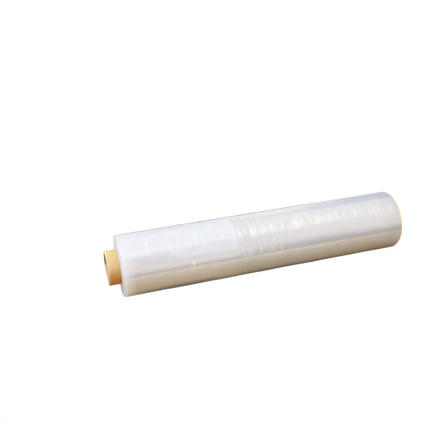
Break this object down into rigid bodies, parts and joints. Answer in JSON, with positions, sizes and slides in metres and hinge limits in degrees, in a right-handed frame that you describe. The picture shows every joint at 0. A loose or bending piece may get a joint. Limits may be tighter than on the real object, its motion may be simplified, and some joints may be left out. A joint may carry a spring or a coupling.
{
  "type": "stretch wrap roll",
  "caption": "Slim hand roll of clear stretch film, wound on a spiral cardboard core that sticks out at one end as a bare grip, with a torn outer wrap lying loose.",
  "frame": {"origin": "centre of the flush end of the roll, on the plane that it stands on", "axes": "+Z along the axis of the core, from the flush end towards the bare grip; +X is the side that faces up in the picture, where the roll lies down; the camera looks from -Y"},
  "size_m": [0.1051, 0.1051, 0.52],
  "materials": {
    "core_board": "plain kraft board, matt",
    "stretch_film": "clear film, milky where wound, glossy with fine hoops"
  },
  "bodies": {
    "root": {"core": "core_board", "film_roll": "stretch_film"}
  },
  "joints": []
}
